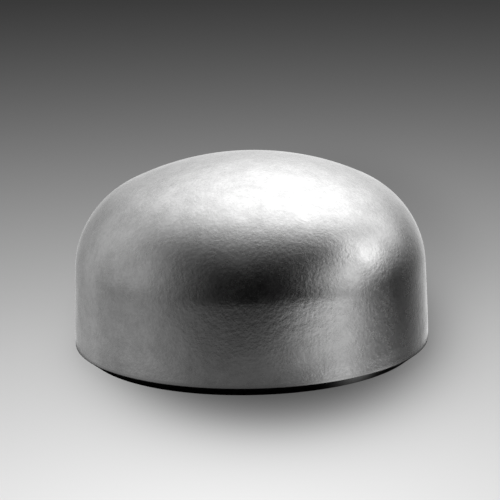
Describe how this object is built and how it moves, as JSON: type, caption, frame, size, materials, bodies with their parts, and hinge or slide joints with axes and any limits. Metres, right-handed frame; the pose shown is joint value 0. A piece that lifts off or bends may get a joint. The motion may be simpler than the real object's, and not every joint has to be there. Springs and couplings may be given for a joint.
{
  "type": "pipe cap",
  "caption": "Domed butt-weld steel pipe cap: a pressed cup with a straight skirt, a rounded knuckle, a shallow crown and a bevelled weld end.",
  "frame": {"origin": "centre of the weld end, on the plane of the root face", "axes": "+Z along the axis of revolution, out through the crown; X and Y are free, because the cap is a body of revolution"},
  "size_m": [0.1142, 0.1142, 0.0635],
  "materials": {
    "steel": "shot-blasted, satin, with a turned weld end"
  },
  "bodies": {
    "root": {"cap_shell": "steel"}
  },
  "joints": []
}
